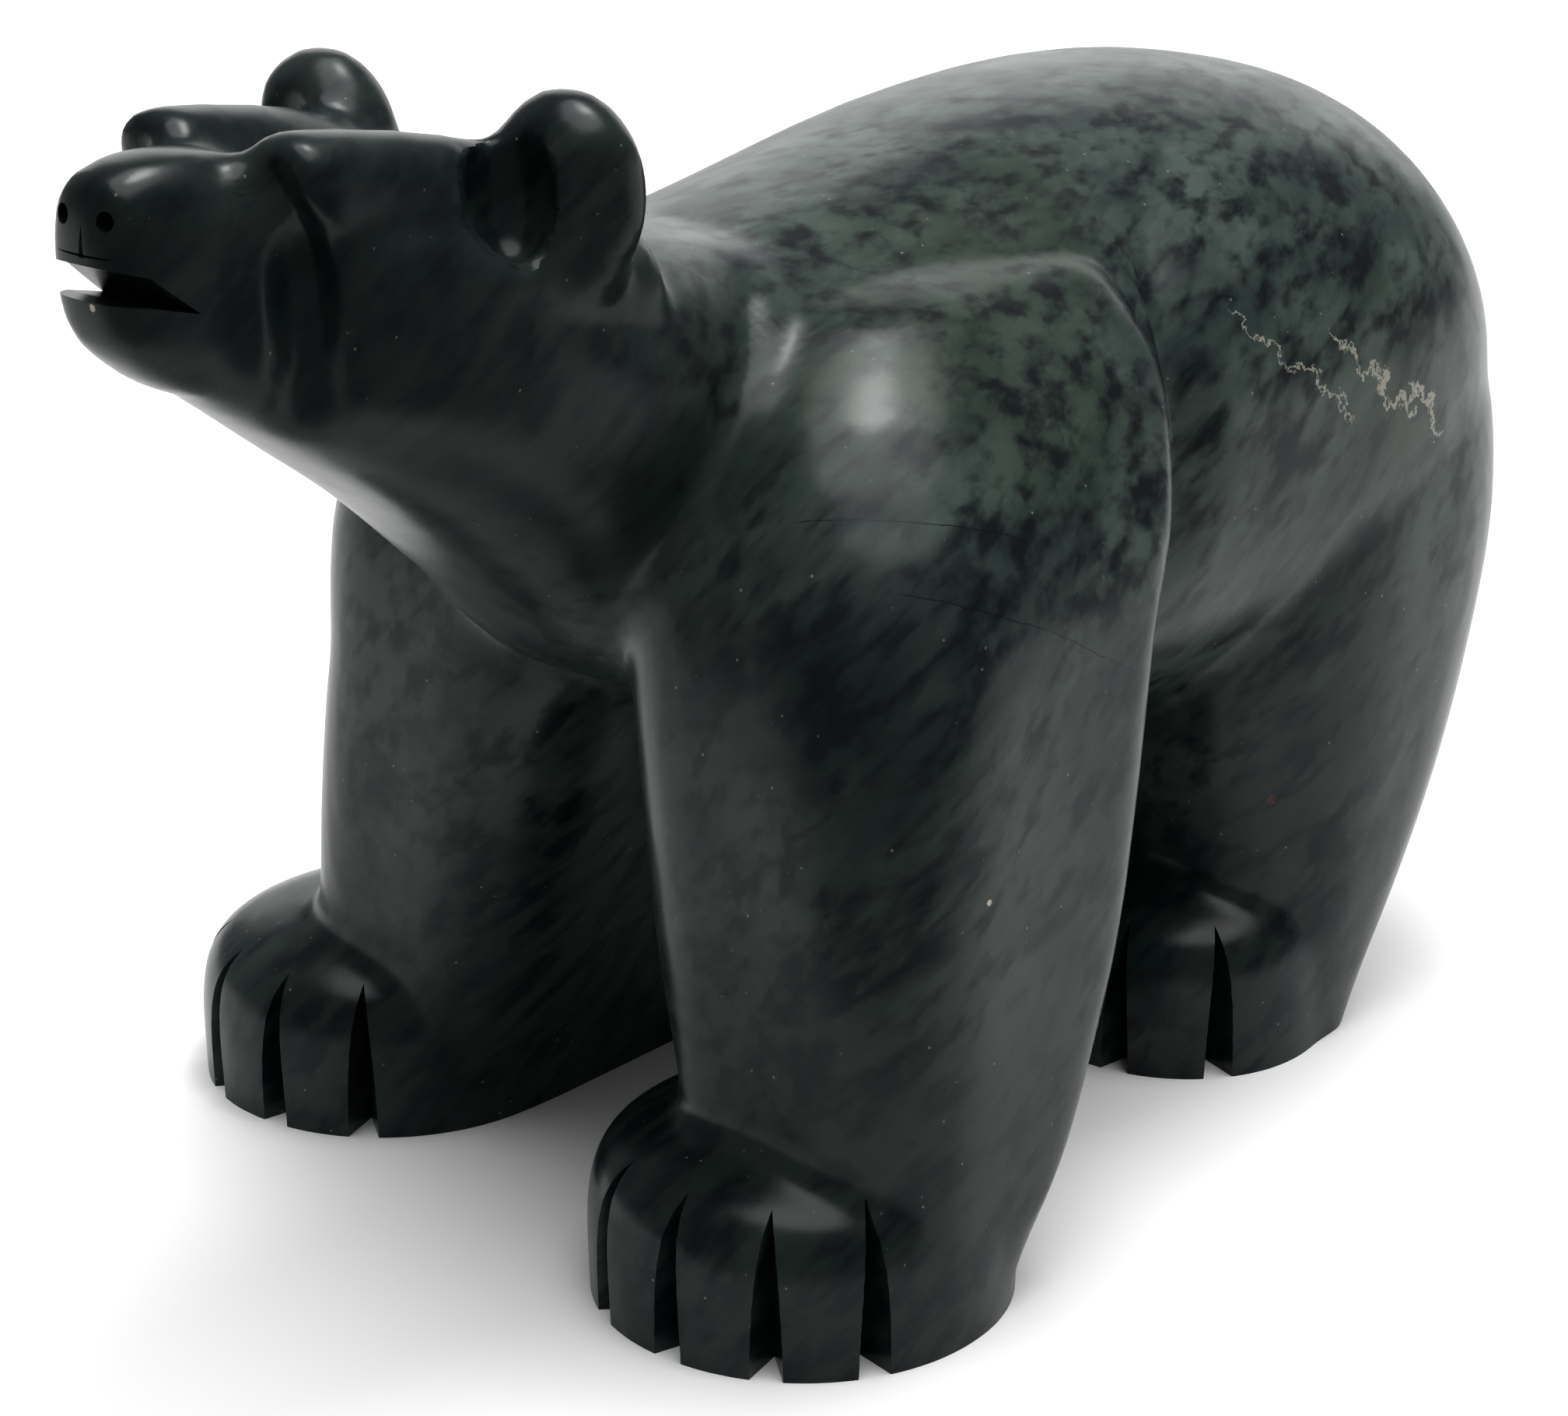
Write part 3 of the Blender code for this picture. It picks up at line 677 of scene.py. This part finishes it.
def spotted(place, middle, centre, radius):
    """1 in a ragged spot."""
    spot = Vector(centre) * LENGTH - middle
    far = Flow.node("VectorMath", {"operation": "DISTANCE"}, {0: place, 1: spot}, "Value")
    ragged = far + (place.noise(900.0, 3.0, 0.6) - 0.5) * (radius * 2.4)
    return 1 - ragged.rise(radius * 0.8, radius * 1.1)


def soapstone(middle):
    """Grey-green stone with bluish black dashes, veins, cracks and flecks, polished, with painted shade
    that makes it darker near the floor.
    """
    material = bpy.data.materials.new("polished_soapstone")
    material.use_nodes = True
    Flow.tree = material.node_tree
    shader = material.node_tree.nodes["Principled BSDF"]
    place = Flow.node("TexCoord", {}, {}, "Object")
    streak_way = Vector(STREAK_WAY).normalized()
    layer_way = streak_way.cross(Vector(ACROSS_STREAKS)).normalized()
    turned = Matrix((streak_way, layer_way.cross(streak_way), layer_way)).transposed().to_euler()
    bed = Flow.node("Mapping", {"vector_type": "TEXTURE"},
                    {"Vector": place, "Rotation": turned, "Scale": STREAK_STRETCH})
    cloud = bed.noise(52.0, 5.0, 0.62, 0.2)
    dash = bed.noise(240.0, 3.0, 0.5, 0.15)
    drift = bed.noise(84.0, 4.0, 0.55, 0.2)
    patch = place.noise(13.0, 3.0, 0.5, 0.3)
    ahead = Flow.node("SeparateXYZ", {}, {0: place}, 1)
    height = Flow.node("SeparateXYZ", {}, {0: place}, 2)
    head = (1 - ahead.rise(*HEAD_FADES)) * height.rise(*HEAD_RISES)
    # painted shade: near the floor the stone is painted darker and its pale patches dimmer
    low = 1 - height.rise(*LOW_SHADE_HEIGHTS)
    stone = Flow.node("RGB", {}, {})
    stone.socket.default_value = GREY_GREEN
    # the pale patches are dimmed near the floor as part of the painted shade
    colour = stone.tint(PALE_GREEN, cloud.rise(0.36, 0.68) * (0.9 - low * 0.25))
    colour = colour.tint(MOSS, patch.rise(0.47, 0.62) * 0.5)
    colour = colour.tint(DARK_HEAD_AND_SHADE, head * 0.7)
    # painted shade: darker towards the floor
    colour = colour.tint(DARK_HEAD_AND_SHADE, low * 0.6)
    dark = 1 - (dash * 0.6 + drift * 0.4).rise(0.36, 0.56)
    colour = colour.tint(BLUE_BLACK, dark * (0.92 - head * 0.3))
    colour = colour.tint(BLUE_BLACK, (1 - cloud.rise(0.30, 0.42)) * 0.8)
    fleck = Flow.node("TexVoronoi", {}, {"Vector": place, "Scale": 330.0}, "Distance")
    lucky = place.noise(500.0, 0.0).rise(0.62, 0.72)
    colour = colour.tint(CHALK, (1 - fleck.rise(0.05, 0.13)) * lucky * 0.3)
    for crack in CRACKS:
        colour = colour.tint(BLUE_BLACK, marked(place, middle, *crack) * 0.85)
    for vein in VEINS:
        colour = colour.tint(CHALK, marked(place, middle, *vein) * 0.55)
    for chip in CHIPS:
        colour = colour.tint(CHALK, spotted(place, middle, *chip))
    colour = colour.tint(RUST, spotted(place, middle, *RUST_SPOT))
    material.node_tree.links.new(colour.socket, shader.inputs["Base Color"])
    smear = place.noise(18.0, 4.0, 0.6)
    rough = 0.20 + smear * 0.14
    material.node_tree.links.new(rough.socket, shader.inputs["Roughness"])
    hair = Flow.node("Mapping", {"vector_type": "TEXTURE"},
                     {"Vector": place, "Rotation": HAIR_TURN, "Scale": HAIR_STRETCH})
    scratch = hair.noise(900.0, 2.0)
    ripple = place.noise(55.0, 2.0)
    bump = Flow.node("Bump", {}, {"Strength": 0.30, "Distance": 0.0007, "Height": ripple + scratch * 0.03})
    material.node_tree.links.new(bump.socket, shader.inputs["Normal"])
    shader.inputs["Specular IOR Level"].default_value = 0.25
    return material


def plain(name, colour, roughness):
    material = bpy.data.materials.new(name)
    material.use_nodes = True
    shader = material.node_tree.nodes["Principled BSDF"]
    shader.inputs["Base Color"].default_value = colour
    shader.inputs["Roughness"].default_value = roughness
    return material


def soft_light(name, spot, size, watts):
    """A rectangular lamp aimed at the middle of the bear."""
    data = bpy.data.lights.new(name, "AREA")
    data.shape = "RECTANGLE"
    data.size, data.size_y = size
    data.energy = watts
    lamp = bpy.data.objects.new(name, data)
    lamp.location = spot
    lamp.rotation_euler = (Vector(spot) - Vector((0, 0, 0.12))).to_track_quat("Z", "Y").to_euler()
    bpy.context.scene.collection.objects.link(lamp)


def studio():
    """A pale floor, white air, a wide overhead light and two soft lamps, plain all of them."""
    bpy.ops.object.select_all(action="DESELECT")
    bpy.ops.mesh.primitive_plane_add(size=8, location=(-2.4, 2.9, 0), rotation=(0, 0, math.radians(40)))
    floor = bpy.context.object
    floor.name = "studio_floor"
    floor.data.materials.append(plain("pale_floor", (0.92, 0.92, 0.92, 1), 0.8))
    world = bpy.data.worlds.new("studio_air")
    world.use_nodes = True
    world.node_tree.nodes["Background"].inputs["Color"].default_value = (1, 1, 1, 1)
    world.node_tree.nodes["Background"].inputs["Strength"].default_value = 0.26
    bpy.context.scene.world = world
    data = bpy.data.lights.new("overhead_light", "SUN")
    data.energy = 2.6
    data.angle = math.radians(60)
    lamp = bpy.data.objects.new("overhead_light", data)
    lamp.rotation_euler = Vector((0.12, 0.03, 0.99)).to_track_quat("Z", "Y").to_euler()
    bpy.context.scene.collection.objects.link(lamp)
    soft_light("back_light", (-1.2, 1.6, 0.80), (2.6, 1.2), 9)
    soft_light("key_light", (0.07, 0.22, 1.40), (0.32, 0.32), 4.6)
    bpy.context.scene.view_settings.view_transform = "Standard"
    bpy.context.scene.view_settings.look = "Medium High Contrast"


# The photograph's view: 40 degrees to the left side and 20 degrees down, from a place in metres
VIEW_TURN = math.radians(40)
VIEW_DOWN = math.radians(20)
VIEW_PLACE = (0.48273, -0.48949, 0.36423)
VIEW_LENS = 89.286


def look_from(middle):
    level = Vector((-math.sin(VIEW_TURN), math.cos(VIEW_TURN), 0))
    way = level * math.cos(VIEW_DOWN) - Vector((0, 0, math.sin(VIEW_DOWN)))
    data = bpy.data.cameras.new("camera")
    data.sensor_width = 36.0
    data.lens = VIEW_LENS
    data.clip_start = 0.01
    camera = bpy.data.objects.new("camera", data)
    camera.location = Vector(VIEW_PLACE) - middle
    camera.rotation_euler = way.to_track_quat("-Z", "Y").to_euler()
    bpy.context.scene.collection.objects.link(camera)
    bpy.context.scene.camera = camera


bear, middle = carved_bear()
bear.data.materials.clear()
bear.data.materials.append(soapstone(middle))
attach(bear, "root")
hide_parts("bear_carving")
studio()
look_from(middle)
